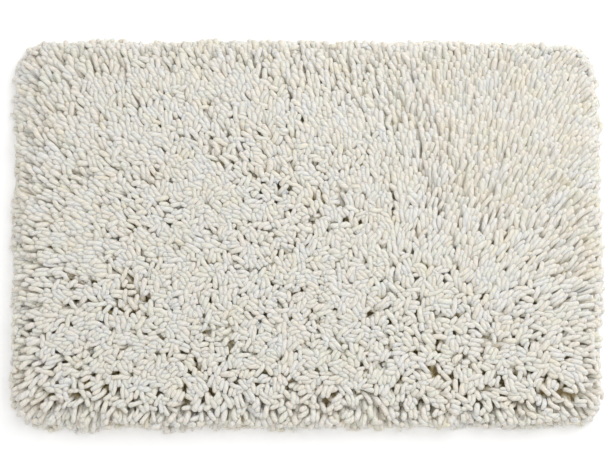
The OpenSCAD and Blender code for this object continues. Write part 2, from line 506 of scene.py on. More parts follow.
def makeMesh(name, points, quads, fans, uvs=None, values=None):
    # quads and fans are index arrays of 4 and 3 corners; uvs maps a layer's name to the corners' places
    mesh = bpy.data.meshes.new(name)
    corners = np.concatenate([quads.ravel(), fans.ravel()]).astype(np.int32)
    starts = np.concatenate([np.arange(len(quads)) * 4, len(quads) * 4 + np.arange(len(fans)) * 3])
    mesh.vertices.add(len(points))
    mesh.vertices.foreach_set("co", points.astype(np.float32).ravel())
    mesh.loops.add(len(corners))
    mesh.loops.foreach_set("vertex_index", corners)
    mesh.polygons.add(len(starts))
    mesh.polygons.foreach_set("loop_start", starts.astype(np.int32))
    for layer, places in (uvs or {}).items():
        mesh.uv_layers.new(name=layer).uv.foreach_set("vector", places.astype(np.float32).ravel())
    for layer, value in (values or {}).items():
        column = mesh.attributes.new(layer, "FLOAT", "POINT")
        column.data.foreach_set("value", value.astype(np.float32).ravel())
    mesh.update(calc_edges=True)
    mesh.validate()
    mesh.shade_smooth()
    piece = bpy.data.objects.new(name, mesh)
    bpy.context.scene.collection.objects.link(piece)
    return piece


def standIn(piece, node):
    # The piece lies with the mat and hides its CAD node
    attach(piece, "root")
    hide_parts(node)
    return piece


def sweepTubes(line, radius, sides, roll):
    # Rings round many lines at once: centre + r (cos a N + sin a B), N carried along without twist
    rings = line.shape[1]
    along = unit(np.gradient(line, axis=1))
    side = np.zeros_like(line)
    guide = np.where(np.abs(along[:, 0, 1:2]) > 0.9, [[1.0, 0, 0]], [[0, 1.0, 0]])
    side[:, 0] = unit(guide - along[:, 0] * np.sum(guide * along[:, 0], -1, keepdims=True))
    for k in range(1, rings):
        last = side[:, k - 1]
        side[:, k] = unit(last - along[:, k] * np.sum(last * along[:, k], -1, keepdims=True))
    other = np.cross(along, side)
    angle = np.arange(sides) / sides * 2 * math.pi + roll[:, None]
    cosine, sine = np.cos(angle)[:, None, :, None], np.sin(angle)[:, None, :, None]
    ring = cosine * side[:, :, None] + sine * other[:, :, None]
    return line[:, :, None] + ring * radius[:, :, None, None]


def tubeFaces(tubes, rings, sides):
    # Corners of the quads of every tube, and of the fans that close both ends
    per = rings * sides + 2
    base = (np.arange(tubes) * per)[:, None, None]
    r = np.arange(rings - 1)[None, :, None]
    s = np.arange(sides)[None, None, :]
    t = (s + 1) % sides
    quads = np.stack([base + r * sides + s, base + r * sides + t,
                      base + (r + 1) * sides + t, base + (r + 1) * sides + s], -1)
    s, t = np.arange(sides)[None], (np.arange(sides)[None] + 1) % sides
    base = (np.arange(tubes) * per)[:, None]
    last = base + (rings - 1) * sides
    low = np.stack([base + t, base + s, base + per - 2 + 0 * s], -1)
    high = np.stack([last + s, last + t, base + per - 1 + 0 * s], -1)
    return quads.reshape(-1, 4), np.concatenate([low, high], 1).reshape(-1, 3)


yarn = {
    "sides": 6,
    "legRings": 7,
    "neck": 0.62,             # share of its thickness in the needle hole
    "neckLength": 0.005,
    "stitchDrop": 0.0006,     # of its middle, below the cloth
    "swell": 0.08,            # thick and thin places
    "bloom": -0.07,           # a little thinner towards the cut end
    "capLength": 1.05,        # height of the cut end's rounding, in radii
    "capRings": ((0.62, 0.80), (0.93, 0.45)),  # shares of that height, and of the thickness there
    "girth": 0.24,            # distance round a tuft, as a share of its length
    "floorSkin": 0.00015,     # pressed flat where it lies on the floor
    "edgeShadeOff": 0.4,         # the painted root shade is taken off the outer yarns, down to the cloth
}


def smoothLine(points, count):
    # Catmull-Rom curve through the points, read at count even places
    n = points.shape[1]
    before, after = 2 * points[:, :1] - points[:, 1:2], 2 * points[:, -1:] - points[:, -2:-1]
    ends = np.concatenate([before, points, after], 1)
    place = np.linspace(0, n - 1, count)
    k = np.minimum(place.astype(int), n - 2)
    t = (place - k)[None, :, None]
    p0, p1, p2, p3 = (ends[:, k + j] for j in range(4))
    return 0.5 * (2 * p1 + (p2 - p0) * t + (2 * p0 - 5 * p1 + 4 * p2 - p3) * t ** 2
                  + (3 * p1 - p0 - 3 * p2 + p3) * t ** 3)


def buildTufts(legs, thick, rng):
    # One line for each tuft: cut end, down the first leg, below the cloth, up the second leg, cut end.
    # Radius = yarn's x neck x bloom x swell, and rise goes from 0 at the cloth to 1 at the cut end.
    count = len(legs) // 2
    rings = yarn["legRings"]
    pair = smoothLine(legs, rings).reshape(count, 2, rings, 3)
    first, second = pair[:, 0, ::-1], pair[:, 1]
    below = np.array([0, 0, clothUnder - yarn["stitchDrop"]])
    stitch = [(first[:, -1] * (1 - t) + second[:, 0] * t) * [1, 1, 0] + below for t in (0.12, 0.88)]
    line = np.concatenate([first, np.stack(stitch, 1), second], 1)
    rise = np.concatenate([np.linspace(1, 0, rings), np.zeros(len(stitch)), np.linspace(0, 1, rings)])
    radius = pile["yarnRadius"] * thick.reshape(count, 2)[:, :1] * np.ones((count, line.shape[1]))
    up = np.linspace(0, 1, rings)[None, :, None] * pile["legLength"]
    neck = yarn["neck"] + (1 - yarn["neck"]) * smoothStep(0, yarn["neckLength"], up)[..., 0]
    neck = neck * (1 + yarn["bloom"] * smoothStep(0.4, 0.9, up[..., 0] / pile["legLength"]))
    shape = np.concatenate([neck[:, ::-1], np.full((1, 2), yarn["neck"] * 0.62), neck], 1)
    radius = radius * shape * (1 + yarn["swell"] * rng.normal(0, 1, radius.shape).clip(-2, 2))
    tipA, tipB = unit(line[:, 0] - line[:, 1]), unit(line[:, -1] - line[:, -2])
    startA, startB, edgeA, edgeB = line[:, :1], line[:, -1:], radius[:, :1], radius[:, -1:]
    cap = yarn["capLength"]
    for height, width in yarn["capRings"]:                            # both cut ends are rounded off
        line = np.concatenate([startA + tipA[:, None] * edgeA[..., None] * height * cap, line,
                               startB + tipB[:, None] * edgeB[..., None] * height * cap], 1)
        radius = np.concatenate([edgeA * width, radius, edgeB * width], 1)
        rise = np.concatenate([[1], rise, [1]])
    poles = np.stack([startA[:, 0] + tipA * edgeA * cap, startB[:, 0] + tipB * edgeB * cap], 1)
    return line, radius, poles, rise


yarnLine, yarnRadius, yarnPoles, yarnRise = buildTufts(legs, legThick, rng)
yarnRoll = rng.uniform(0, 2 * math.pi, tufts)
yarnTint = rng.uniform(0, 1, tufts)


def stripPlaces(tubes, rings, sides, girth):
    # Each tube's skin as a strip of its own in the unit square: along by ring, across by side.
    # girth is the distance round a tube as a share of its length.
    columns = max(1, round(math.sqrt(tubes * girth)))
    rows = math.ceil(tubes / columns)
    tube = np.arange(tubes)
    left, low = (tube % columns) / columns, (tube // columns) / rows
    padU, padV = 0.01, 0.06                                           # bare share at a strip's edges

    def corners(us, vs):
        # Corners given along and across one tube: their places on the strips, and on the tube's own square
        us, vs = (np.stack(np.broadcast_arrays(*part), -1) for part in (us, vs))
        u, v = np.broadcast_arrays(us, vs)
        each = (tubes,) + (1,) * u.ndim
        strip = np.stack([left.reshape(each) + (padU + (1 - 2 * padU) * u) / columns,
                          low.reshape(each) + (padV + (1 - 2 * padV) * v) / rows], -1)
        return strip, np.broadcast_to(np.stack([u, v], -1), strip.shape)

    u = np.arange(rings + 2)[:, None] / (rings + 1)
    v0, v1 = np.arange(sides) / sides, (np.arange(sides) + 1) / sides
    u0, u1 = u[1:rings], u[2:rings + 1]
    quads, ownQuads = corners([u0, u0, u1, u1], [v0, v1, v1, v0])
    low0, low1, high0, high1 = u[1, 0], u[0, 0], u[rings, 0], u[rings + 1, 0]
    fans = [corners([low0, low0, low1], [v1, v0, (v0 + v1) / 2]),
            corners([high0, high0, high1], [v0, v1, (v0 + v1) / 2])]
    fans, ownFans = (np.concatenate(part, 1) for part in zip(*fans))
    return (np.concatenate([quads.reshape(-1, 2), fans.reshape(-1, 2)]),
            np.concatenate([ownQuads.reshape(-1, 2), ownFans.reshape(-1, 2)]))


def pileGroup(number):
    # The tufts of one pile_rows node as one piece
    mine = np.nonzero(tuftRow // mat["rowsPerGroup"] == number)[0]
    sides, rings = yarn["sides"], yarnLine.shape[1]
    skin = sweepTubes(yarnLine[mine], yarnRadius[mine], sides, yarnRoll[mine])
    skin[..., 2] = np.maximum(skin[..., 2], yarn["floorSkin"])
    points = np.concatenate([skin.reshape(len(mine), -1, 3), yarnPoles[mine]], 1)
    quads, fans = tubeFaces(len(mine), rings, sides)
    bake, own = stripPlaces(len(mine), rings, sides, yarn["girth"])
    tint = np.repeat(yarnTint[mine], points.shape[1])
    rise = np.concatenate([np.repeat(yarnRise, sides), [1, 1]])[None]
    # rise carries the painted root shade, which the outer yarns lose
    rise = rise + yarn["edgeShadeOff"] * atEdge[2 * mine, None]
    name = f"pile_rows_{number + 1:02d}"
    piece = makeMesh(name.replace("pile_rows", "pileYarn"), points.reshape(-1, 3), quads, fans,
                     {"OFBake": bake, "yarn": own}, {"tint": tint, "rise": rise.ravel()})
    return standIn(piece, name)


pilePieces = [pileGroup(n) for n in range(mat["groups"])]
report(f"{len(pilePieces)} pile pieces, {sum(len(p.data.polygons) for p in pilePieces)} faces")


def gridFaces(rows, columns, wrap=False):
    # Corners of the quads between neighbouring points of a grid numbered row by row; wrap joins both ends
    r = np.arange(rows if wrap else rows - 1)[:, None]
    c = np.arange(columns if wrap else columns - 1)[None]
    r1, c1 = (r + 1) % rows, (c + 1) % columns
    corners = [r * columns + c, r1 * columns + c, r1 * columns + c1, r * columns + c1]
    return np.stack(corners, -1).reshape(-1, 4)


def gridPlaces(rowPlace, columnPlace):
    # Those quads' corners on a map, from the place of each line of the grid
    u0, u1 = rowPlace[:-1, None], rowPlace[1:, None]
    v0, v1 = columnPlace[None, :-1], columnPlace[None, 1:]
    corners = [np.broadcast_arrays(u, v) for u, v in ((u0, v0), (u1, v0), (u1, v1), (u0, v1))]
    return np.stack([np.stack(corner, -1) for corner in corners], 2).reshape(-1, 2)


def roundPlate(name, half, radius, lines, columns, height, other, up):
    # Plate with round corners: one face, the upper one if up, has height(x, y), the opposite one is flat.
    # x = u times half the plate's length at y, and that length shrinks with the corner's circle.
    y = np.linspace(-half[1], half[1], lines)
    past = np.maximum(np.abs(y) - (half[1] - radius), 0)
    reach = half[0] - radius + np.sqrt(np.maximum(radius ** 2 - past ** 2, 0))
    x = np.linspace(-1, 1, columns) * reach[:, None]
    face = np.stack([x, y[:, None] + 0 * x, height(x, y[:, None] + 0 * x)], -1)
    back = np.stack([x[:, [0, -1]], y[:, None] + np.zeros((lines, 2)), np.full((lines, 2), other)], -1)
    quads = [gridFaces(lines, columns)]
    f = np.arange(lines - 1) * columns
    b = lines * columns + np.arange(lines - 1) * 2
    quads.append(np.stack([b, b + 1, b + 3, b + 2], -1))
    quads.append(np.stack([f, b, b + 2, f + columns], -1))
    quads.append(np.stack([f + columns - 1, f + 2 * columns - 1, b + 3, b + 1], -1))
    c = np.arange(columns - 1)
    low, last = lines * columns, lines * columns + 2 * (lines - 1)
    fans = [np.stack([low + 0 * c, c, c + 1], -1), np.array([[low, columns - 1, low + 1]])]
    c = c + (lines - 1) * columns
    fans += [np.stack([last + 0 * c, c + 1, c], -1), np.array([[last, last + 1, lines * columns - 1]])]
    quads, fans = np.concatenate(quads), np.concatenate(fans)
    if up:
        quads, fans = quads[:, ::-1], fans[:, ::-1]
    return makeMesh(name, np.concatenate([face.reshape(-1, 3), back.reshape(-1, 3)]), quads, fans)


cloth = {
    "half": clothHigh[:2],
    "lines": 90,
    "columns": 120,
    "seed": 21,
    "wave": 0.00005,          # unevenness from the needle
    "waveSize": 0.02,
    "topRoom": 0.0001,        # it stays this far inside its CAD node, above and below
    "underRoom": 0.00005,
    "area": 0.736 * 0.482 - (4 - math.pi) * mat["clothRadius"] ** 2,
}
rubber = {
    "skin": 0.00056,          # lowest between the rows, above the floor
    "ridge": 0.00044,         # over a row of back stitches
    "ridgeWidth": 0.0017,
    "stitchShare": 0.5,       # of the ridge that comes and goes with each stitch
    "labelRoom": 0.0006,      # free height for the label
    "slope": (0.0250, 0.0222),  # rises behind the tape between these insets
    "tapeGap": 0.00002,
    "lines": 300,
    "columns": 221,
}
label = {
    "x": (0.207, 0.253),
    "y": (-0.229, -0.199),
    "rows": 34,
    "columns": 50,
    "middle": 0.00029,        # height of its middle
    "thick": 0.00028,
    "wave": 0.00008,          # its loose end is not quite flat
    "droop": 0.00005,
    "seams": (-0.2278, -0.2238),
    "seamRise": 0.00008,
    "seamWidth": 0.0005,
    "folded": 0.35,           # both ends are folded under, and thicker by this share
    "foldWidth": 0.05,
    "floorGap": 0.00003,
    "firstStitch": 0.0025,    # from the end of the label
}


def baseCloth():
    # The woven cloth that the pile is tufted through: height = its top less the room there, plus soft noise
    noise = np.random.default_rng(cloth["seed"])

    def height(x, y):
        return clothTop - cloth["topRoom"] + cloth["wave"] * softNoise(x, y, cloth["waveSize"], noise)

    piece = roundPlate("canvas", cloth["half"], mat["clothRadius"], cloth["lines"], cloth["columns"],
                       height, clothUnder + cloth["underRoom"], True)
    return standIn(piece, "base_cloth")


def overLabel(x, start, end):
    # 1 along the label's length, going from 0 to 1 between these distances outside its two ends
    return (smoothStep(label["x"][0] - start, label["x"][0] - end, x)
            * smoothStep(-label["x"][1] - start, -label["x"][1] - end, -x))


def rubberUnderside(x, y):
    # Height of the rubber: skin less a ridge exp(-(d / w)^2) along each row, fuller below each stitch
    row = np.round((y + rowPlan["first"]) / rowPlan["gauge"] - 0.5).astype(int)
    k = np.clip(row, 0, len(rowPlan["y"]) - 1)
    off = y - rowPlan["y"][k]
    part = ((x + rowPlan["half"][k]) / rowPlan["pitch"][k]) % 1
    full = 1 - rubber["stitchShare"] + rubber["stitchShare"] * np.sin(math.pi * part) ** 0.7
    inRow = 1 - smoothStep(-0.001, 0.003, np.abs(x) - rowPlan["half"][k])
    height = rubber["skin"] - rubber["ridge"] * np.exp(-(off / rubber["ridgeWidth"]) ** 2) * full * inRow
    behindLabel = overLabel(x, 0.003, 0.001)
    behindLabel = behindLabel * smoothStep(-label["y"][1] - 0.003, -label["y"][1] - 0.001, -y)
    height = np.maximum(height, rubber["labelRoom"] * behindLabel)
    slope = smoothStep(-rubber["slope"][0], -rubber["slope"][1], edgeDistance(x, y))
    return height * (1 - slope) + (tapeThick + rubber["tapeGap"]) * slope


def rubberCoat():
    # The poured rubber back: rows of stitches show through it
    piece = roundPlate("rubberBack", clothHigh[:2], mat["clothRadius"], rubber["lines"], rubber["columns"],
                       rubberUnderside, clothUnder, False)
    return standIn(piece, "rubber_coat")


tape = {
    # insets of the points of its lower and upper leaf, in mm, close together at the seams
    "below": (21.6, 20.8, 20.1, 19.5, 19.0, 18.5, 17.9, 16.5, 14.0, 11.5, 9.0, 6.5,
              4.6, 3.9, 3.4, 3.0, 2.6, 2.1, 1.4),
    "above": (1.4, 2.4, 3.0, 3.6, 5.0, 6.5, 8.55),
    "bend": 0.0009,
    "thick": 0.00088,
    "rounded": 0.4,           # share of its thickness that a cut edge stands out
    "step": 0.0025,           # between two sections along the edge
    "seams": (0.003, 0.019),  # insets
    "seamDip": 0.00016,
    "seamWidth": 0.0006,
    "pleats": 9,              # small gathers where the tape goes round a corner
    "pleatHeight": 0.00016,
    "labelRoom": 0.00056,     # free height for the label
}


def tapeSection():
    # Middle line of the folded tape as inset and height, and its faces half a thickness to each side
    turn = np.linspace(0, math.pi / 2, 5)[1:-1]
    bend = tape["bend"]
    low, high = tapeThick * 0.55, clothTop + tapeThick * 0.5
    below, above = np.array(tape["below"]) * 0.001, np.array(tape["above"]) * 0.001
    inset = np.concatenate([below, below[-1] - bend * np.sin(turn), [below[-1] - bend] * 2,
                            below[-1] - bend * np.cos(turn), above])
    height = np.concatenate([0 * below + low, low + bend - bend * np.cos(turn), [low + bend, high - bend],
                             high - bend + bend * np.sin(turn), 0 * above + high])
    line = np.stack([inset, height], -1)
    along = unit(np.gradient(line, axis=0))
    out = np.stack([-along[:, 1], along[:, 0]], -1) * tape["thick"] / 2
    last = line[-1] + along[-1] * tape["thick"] * tape["rounded"]     # both cut edges
    first = line[0] - along[0] * tape["thick"] * tape["rounded"]
    end = np.stack([last + out[-1] * 0.5, last - out[-1] * 0.5])
    start = np.stack([first - out[0] * 0.5, first + out[0] * 0.5])
    return np.concatenate([line + out, end, (line - out)[::-1], start])


def hemTape():
    # The section carried round the bound edge. Seams pull it in, corners gather it.
    section = tapeSection()
    path, facing, far = roundPath(boundHalf, mat["clothRadius"] + tapeThick, tape["step"])
    inset = section[None, :, 0] + 0 * far[:, None]
    height = section[None, :, 1] + 0 * far[:, None]
    outerFace = (height < tapeThick * 0.6) * 1.0
    lowerLeaf = height < tapeThick * 1.1
    for seam in tape["seams"]:
        height = height + outerFace * tape["seamDip"] * np.exp(-((inset - seam) / tape["seamWidth"]) ** 2)
    turning = np.minimum(np.abs(facing[:, 0]), np.abs(facing[:, 1]))[:, None]
    angle = np.arctan2(facing[:, 1], facing[:, 0])[:, None]
    corner = smoothStep(0, 0.3, turning)
    pleat = np.sin(angle * 4 * tape["pleats"]) * corner * smoothStep(0.006, 0.02, inset)
    height = height + tape["pleatHeight"] * (pleat + corner * 0.4) * lowerLeaf
    xy = path[:, None] - facing[:, None] * inset[..., None]
    covered = overLabel(xy[..., 0], 0.002, 0.0005) * smoothStep(0.0112, 0.0126, inset) * (xy[..., 1] < 0)
    height = np.where(lowerLeaf, np.maximum(height, tape["labelRoom"] * covered), height)
    points = np.concatenate([xy, height[..., None]], -1)
    lengthwise = np.append(far, far[-1] + tape["step"])
    loop = np.concatenate([section, section[:1]])
    across = np.append(0, np.cumsum(np.linalg.norm(np.diff(loop, axis=0), axis=1)))
    piece = makeMesh("edgeBinding", points.reshape(-1, 3), gridFaces(len(far), len(section), True),
                     np.zeros((0, 3), int), {"weave": gridPlaces(lengthwise, across)})
    return standIn(piece, "hem_tape")


thread = {
    "pitch": 0.0034,
    "length": 0.0029,
    "radius": 0.00034,
    "sides": 6,
    "girth": 0.7,             # distance round a stitch, as a share of its length
    "slant": 0.00022,         # a lockstitch lies a little across its seam
    "below": (0.00036, 0.0005),   # height of a stitch's middle, and how far its ends go into the cloth
    "onTop": (0.00006, -0.0005),  # the same above the upper leaf of the tape
    "onLabel": (0.00036, 0.0003),
}


def stitches(name, starts, ends, out, sink):
    # Each stitch is a short tube whose two ends go down into the cloth: height = out + sink * (2 t - 1)^4
    t = np.array([0.0, 0.16, 0.5, 0.84, 1.0])
    line = np.zeros((len(starts), len(t), 3))
    line[..., :2] = starts[:, None] + (ends - starts)[:, None] * t[None, :, None]
    line[..., 2] = out[:, None] + sink[:, None] * (2 * t - 1) ** 4
    radius = thread["radius"] * np.array([0.8, 1, 1, 1, 0.8]) * np.ones((len(starts), 1))
    skin = sweepTubes(line, radius, thread["sides"], np.zeros(len(starts)))
    tips = line[:, [0, -1]] + np.stack([0 * sink, 0 * sink, sink * 0.4], -1)[:, None]
    points = np.concatenate([skin.reshape(len(starts), -1, 3), tips], 1)
    quads, fans = tubeFaces(len(starts), len(t), thread["sides"])
    bake, own = stripPlaces(len(starts), len(t), thread["sides"], thread["girth"])
    return makeMesh(name, points.reshape(-1, 3), quads, fans, {"OFBake": bake, "yarn": own})


def hemThreads():
    # Two seams below and, through both leaves of the tape, one on top
    starts, ends, out, sink = [], [], [], []
    outer, inner = tape["seams"]
    z, depth = thread["onTop"]
    runs = [(outer, *thread["below"]), (inner, *thread["below"]), (outer, clothTop + tapeThick + z, depth)]
    for inset, z, depth in runs:
        radius = mat["clothRadius"] + tapeThick - inset
        path, facing, _ = roundPath(boundHalf - inset, radius, thread["pitch"])
        side = np.stack([-facing[:, 1], facing[:, 0]], -1) * thread["length"] / 2
        slant = facing * thread["slant"] / 2
        keep = np.ones(len(path), bool)
        if inset == inner:                                            # the label covers part of this seam
            past = np.maximum(label["x"][0] - path[:, 0], path[:, 0] - label["x"][1])
            keep = (path[:, 1] >= 0) | (past >= 0.001)
        starts.append((path - side - slant)[keep])
        ends.append((path + side + slant)[keep])
        out.append(np.full(keep.sum(), z))
        sink.append(np.full(keep.sum(), depth))
    piece = stitches("hemStitches", *(np.concatenate(v) for v in (starts, ends, out, sink)))
    return standIn(piece, "hem_threads")


def careLabel():
    # A blank satin label, two grids a thickness apart joined round their edges: height = middle plus a
    # ripple sin(9 u + 2 v) towards its loose end, raised at the seams
    rows, columns = label["rows"], label["columns"]
    v, u = np.meshgrid(np.linspace(0, 1, rows), np.linspace(0, 1, columns), indexing="ij")
    x = label["x"][0] + (label["x"][1] - label["x"][0]) * u
    y = label["y"][0] + (label["y"][1] - label["y"][0]) * v
    loose = smoothStep(0.2, 1.0, v)
    ripple = np.sin(u * 9.0 + v * 2.0) * 0.8
    z = label["middle"] + label["wave"] * loose * ripple - label["droop"] * loose
    for seam in label["seams"]:
        z = z + label["seamRise"] * np.exp(-((y - seam) / label["seamWidth"]) ** 2)
    fold = 1 + label["folded"] * np.exp(-((np.minimum(u, 1 - u) / label["foldWidth"]) ** 4))
    half = label["thick"] / 2 * fold
    low = np.maximum(z - half, label["floorGap"])
    top, below = np.stack([x, y, z + half], -1), np.stack([x, y, low], -1)
    count = rows * columns
    face = gridFaces(rows, columns)
    rim = np.concatenate([np.arange(columns), np.arange(1, rows) * columns + columns - 1,
                          (rows - 1) * columns + np.arange(columns - 2, -1, -1),
                          np.arange(rows - 2, 0, -1) * columns])
    nextRim = np.roll(rim, -1)
    wall = np.stack([rim + count, nextRim + count, nextRim, rim], -1)
    places = gridPlaces(np.linspace(0, 0.030, rows), np.linspace(0, 0.046, columns))
    turned = places.reshape(-1, 4, 2)[:, ::-1].reshape(-1, 2)
    wallPlaces = np.zeros((len(wall) * 4, 2))
    piece = makeMesh("careLabel", np.concatenate([top.reshape(-1, 3), below.reshape(-1, 3)]),
                     np.concatenate([face[:, ::-1], face + count, wall]), np.zeros((0, 3), int),
                     {"weave": np.concatenate([turned, places, wallPlaces])})
    return standIn(piece, "care_label")


def labelThreads():
    # Two short seams along the outer edge of the label
    count = int((label["x"][1] - label["x"][0] - 0.002) / thread["pitch"])
    x = label["x"][0] + label["firstStitch"] + np.arange(count) * thread["pitch"]
    starts = np.concatenate([np.stack([x - thread["length"] / 2, 0 * x + y], -1) for y in label["seams"]])
    ends = starts + np.array([thread["length"], thread["slant"]])
    out, sink = (np.full(len(starts), v) for v in thread["onLabel"])
    piece = stitches("labelStitches", starts, ends, out, sink)
    return standIn(piece, "label_threads")


canvas = baseCloth()
rubberBack = rubberCoat()
binding = hemTape()
hemStitches = hemThreads()
satinLabel = careLabel()
labelStitches = labelThreads()
report("backing, binding, seams and label")


def nodeMaker(tree):
    # Adds a node with its inputs set; an input given as a socket is linked
    def add(kind, inputs=None, **settings):
        node = tree.nodes.new(kind)
        for key, value in settings.items():
            setattr(node, key, value)
        for key, value in (inputs or {}).items():
            if isinstance(value, bpy.types.NodeSocket):
                tree.links.new(value, node.inputs[key])
            else:
                node.inputs[key].default_value = value
        return node
    return add


def maths(add, operation, *values):
    # One sum, of numbers or sockets
    return add("ShaderNodeMath", dict(enumerate(values)), operation=operation).outputs[0]


def ranged(add, value, low, high, toLow=0.0, toHigh=1.0):
    # (value - low) / (high - low), kept between 0 and 1, then spread from toLow to toHigh
    return add("ShaderNodeMapRange", {"Value": value, "From Min": low, "From Max": high,
                                      "To Min": toLow, "To Max": toHigh}).outputs[0]


def mixColour(add, how, factor, first, second):
    # The mix node's sockets share names, so they are set by number
    node = add("ShaderNodeMix", {0: factor, 6: first, 7: second}, data_type="RGBA", blend_type=how)
    return node.outputs[2]


def newGroup(name, **inputs):
    # A node group with its inputs named, each with its first value
    group = bpy.data.node_groups.new(name, "ShaderNodeTree")
    for label, value in inputs.items():
        kind = "NodeSocketVector" if isinstance(value, tuple) else "NodeSocketFloat"
        group.interface.new_socket(label, in_out="INPUT", socket_type=kind).default_value = value
    return group, nodeMaker(group), group.nodes.new("NodeGroupInput").outputs


def giveOut(group, **masks):
    # The group's outputs, each linked to what it puts out
    for label in masks:
        group.interface.new_socket(label, in_out="OUTPUT", socket_type="NodeSocketFloat")
    result = group.nodes.new("NodeGroupOutput")
    for label, mask in masks.items():
        group.links.new(mask, result.inputs[label])
    return group


def twistGroup():
    # Twisted plies and fibres along a yarn, from the map "yarn": angle = 2 pi (v + turns u),
    # height = |cos angle|^0.45 + 0.38 of the fibres
    group, add, given = newGroup("yarn twist", Turns=7.0, Fibres=1.0, Seed=0.0)
    uv = add("ShaderNodeUVMap", uv_map="yarn").outputs["UV"]
    place = add("ShaderNodeSeparateXYZ", {"Vector": uv}).outputs
    turned = maths(add, "MULTIPLY_ADD", place["X"], given["Turns"], place["Y"])
    angle = maths(add, "MULTIPLY", turned, 2 * math.pi)
    cosine, sine = maths(add, "COSINE", angle), maths(add, "SINE", angle)
    plies = maths(add, "POWER", maths(add, "ABSOLUTE", cosine), 0.45)
    along = maths(add, "MULTIPLY_ADD", place["X"], 26.0, given["Seed"])
    where = add("ShaderNodeCombineXYZ", {"X": along, "Y": cosine, "Z": sine}).outputs[0]
    where = add("ShaderNodeVectorMath", {0: where, 1: (1.0, 5.5, 5.5)}, operation="MULTIPLY").outputs[0]
    noise = add("ShaderNodeTexNoise", {"Vector": where, "Scale": given["Fibres"],
                                       "Detail": 3.0, "Roughness": 0.62})
    fibre = ranged(add, noise.outputs["Fac"], 0.32, 0.68)
    height = maths(add, "MULTIPLY_ADD", fibre, 0.38, plies)
    return giveOut(group, Height=height, Groove=plies, Fibre=fibre)


def weaveGroup():
    # Threads crossing over and under each other: over where the sum of both thread numbers, divided by the
    # repeat, has a fraction below 0.45; each thread's height is a sine across it
    group, add, given = newGroup("weave", Vector=(0, 0, 0), Warp=900.0, Weft=900.0, Repeat=2.0)
    counts = add("ShaderNodeCombineXYZ", {"X": given["Warp"], "Y": given["Weft"], "Z": 1.0}).outputs[0]
    scaled = add("ShaderNodeVectorMath", {0: given["Vector"], 1: counts}, operation="MULTIPLY").outputs[0]
    part = add("ShaderNodeSeparateXYZ", {"Vector": scaled}).outputs
    waves, numbers = [], []
    for axis in ("X", "Y"):
        angle = maths(add, "MULTIPLY", maths(add, "FRACT", part[axis]), math.pi)
        waves.append(maths(add, "POWER", maths(add, "SINE", angle), 0.6))
        numbers.append(maths(add, "FLOOR", part[axis]))
    turn = maths(add, "DIVIDE", maths(add, "ADD", *numbers), given["Repeat"])
    over = maths(add, "LESS_THAN", maths(add, "FRACT", turn), 0.45)
    heights = []
    for across, along, most in ((waves[1], waves[0], 0.85), (waves[0], waves[1], 1.0)):
        crown = ranged(add, along, 0.0, 1.0, 0.55 * most, most)
        heights.append(maths(add, "MULTIPLY", across, crown))
    height = add("ShaderNodeMix", {"Factor": over, "A": heights[0], "B": heights[1]}, data_type="FLOAT")
    fine = add("ShaderNodeVectorMath", {0: scaled, 1: (2.3, 2.3, 2.3)}, operation="MULTIPLY").outputs[0]
    fibre = add("ShaderNodeTexNoise", {"Vector": fine, "Scale": 1.0, "Detail": 2.0, "Roughness": 0.6})
    return giveOut(group, Height=height.outputs[0], Over=over, Fibre=fibre.outputs["Fac"])


def patchGroup():
    # Slow unevenness of dye, dust and wear, and specks 34 times finer
    group, add, given = newGroup("patches", Vector=(0, 0, 0), Size=0.06)
    share = maths(add, "DIVIDE", 1.0, given["Size"])
    slow = add("ShaderNodeTexNoise", {"Vector": given["Vector"], "Scale": share, "Detail": 3.0})
    fast = maths(add, "MULTIPLY", share, 34.0)
    specks = add("ShaderNodeTexNoise", {"Vector": given["Vector"], "Scale": fast,
                                        "Detail": 4.0, "Roughness": 0.7})
    return giveOut(group, Mask=ranged(add, slow.outputs["Fac"], 0.32, 0.68), Specks=specks.outputs["Fac"])


twist, weave, patches = twistGroup(), weaveGroup(), patchGroup()


def setRamp(node, stops):
    # The ramp's stops, each a place and a colour
    elements = node.color_ramp.elements
    while len(elements) < len(stops):
        elements.new(0.5)
    for element, (place, colour) in zip(elements, stops):
        element.position = place
        element.color = colour + (1,)


def newMaterial(name, **fixed):
    # A material with its plain values set on the shader; returns it, its shader, node maker and linker
    material = bpy.data.materials.new(name)
    material.use_nodes = True
    shader = material.node_tree.nodes["Principled BSDF"]
    for key, value in fixed.items():
        shader.inputs[key.replace("_", " ")].default_value = value
    return material, shader, nodeMaker(material.node_tree), material.node_tree.links.new


def placeGroup(add, group, **inputs):
    # One of the node groups, placed in a material with its own values
    return add("ShaderNodeGroup", inputs, node_tree=group).outputs


def bumpFrom(add, height, strength, depth):
    # The normal that a height gives
    bump = add("ShaderNodeBump", {"Height": height, "Strength": strength, "Distance": depth})
    return bump.outputs["Normal"]


pileLook = {
    # bleached cotton: no two dye lots the same
    "tints": [(0.00, (0.902, 0.866, 0.776)), (0.20, (0.904, 0.864, 0.810)), (0.40, (0.894, 0.868, 0.818)),
              (0.60, (0.884, 0.874, 0.800)), (0.80, (0.880, 0.870, 0.842)), (1.00, (0.908, 0.884, 0.836))],
    "aged": (1.0, 0.955, 0.83, 1),
    "agedShare": 0.45,
    "patch": 0.03,            # size of the aged patches
    # painted warm shade deep in the pile, near the roots, where light bounces between the yarns
    "root": (0.90, 0.775, 0.38, 1),
    "rootShadeRise": (0.08, 0.52),  # the painted root shade is full below the first, and gone above the second
    "through": 0.6,           # light through the yarn
    "throughDepth": 0.003,
    "groove": 0.88,           # share of the light left between two plies
    "fibreDark": 0.88,
    "turns": 7.0,             # of the plies round one tuft
    "bump": 0.70,
    "bumpDepth": 0.0006,
    "roughness": 0.88,
    "sheen": 0.25,
}


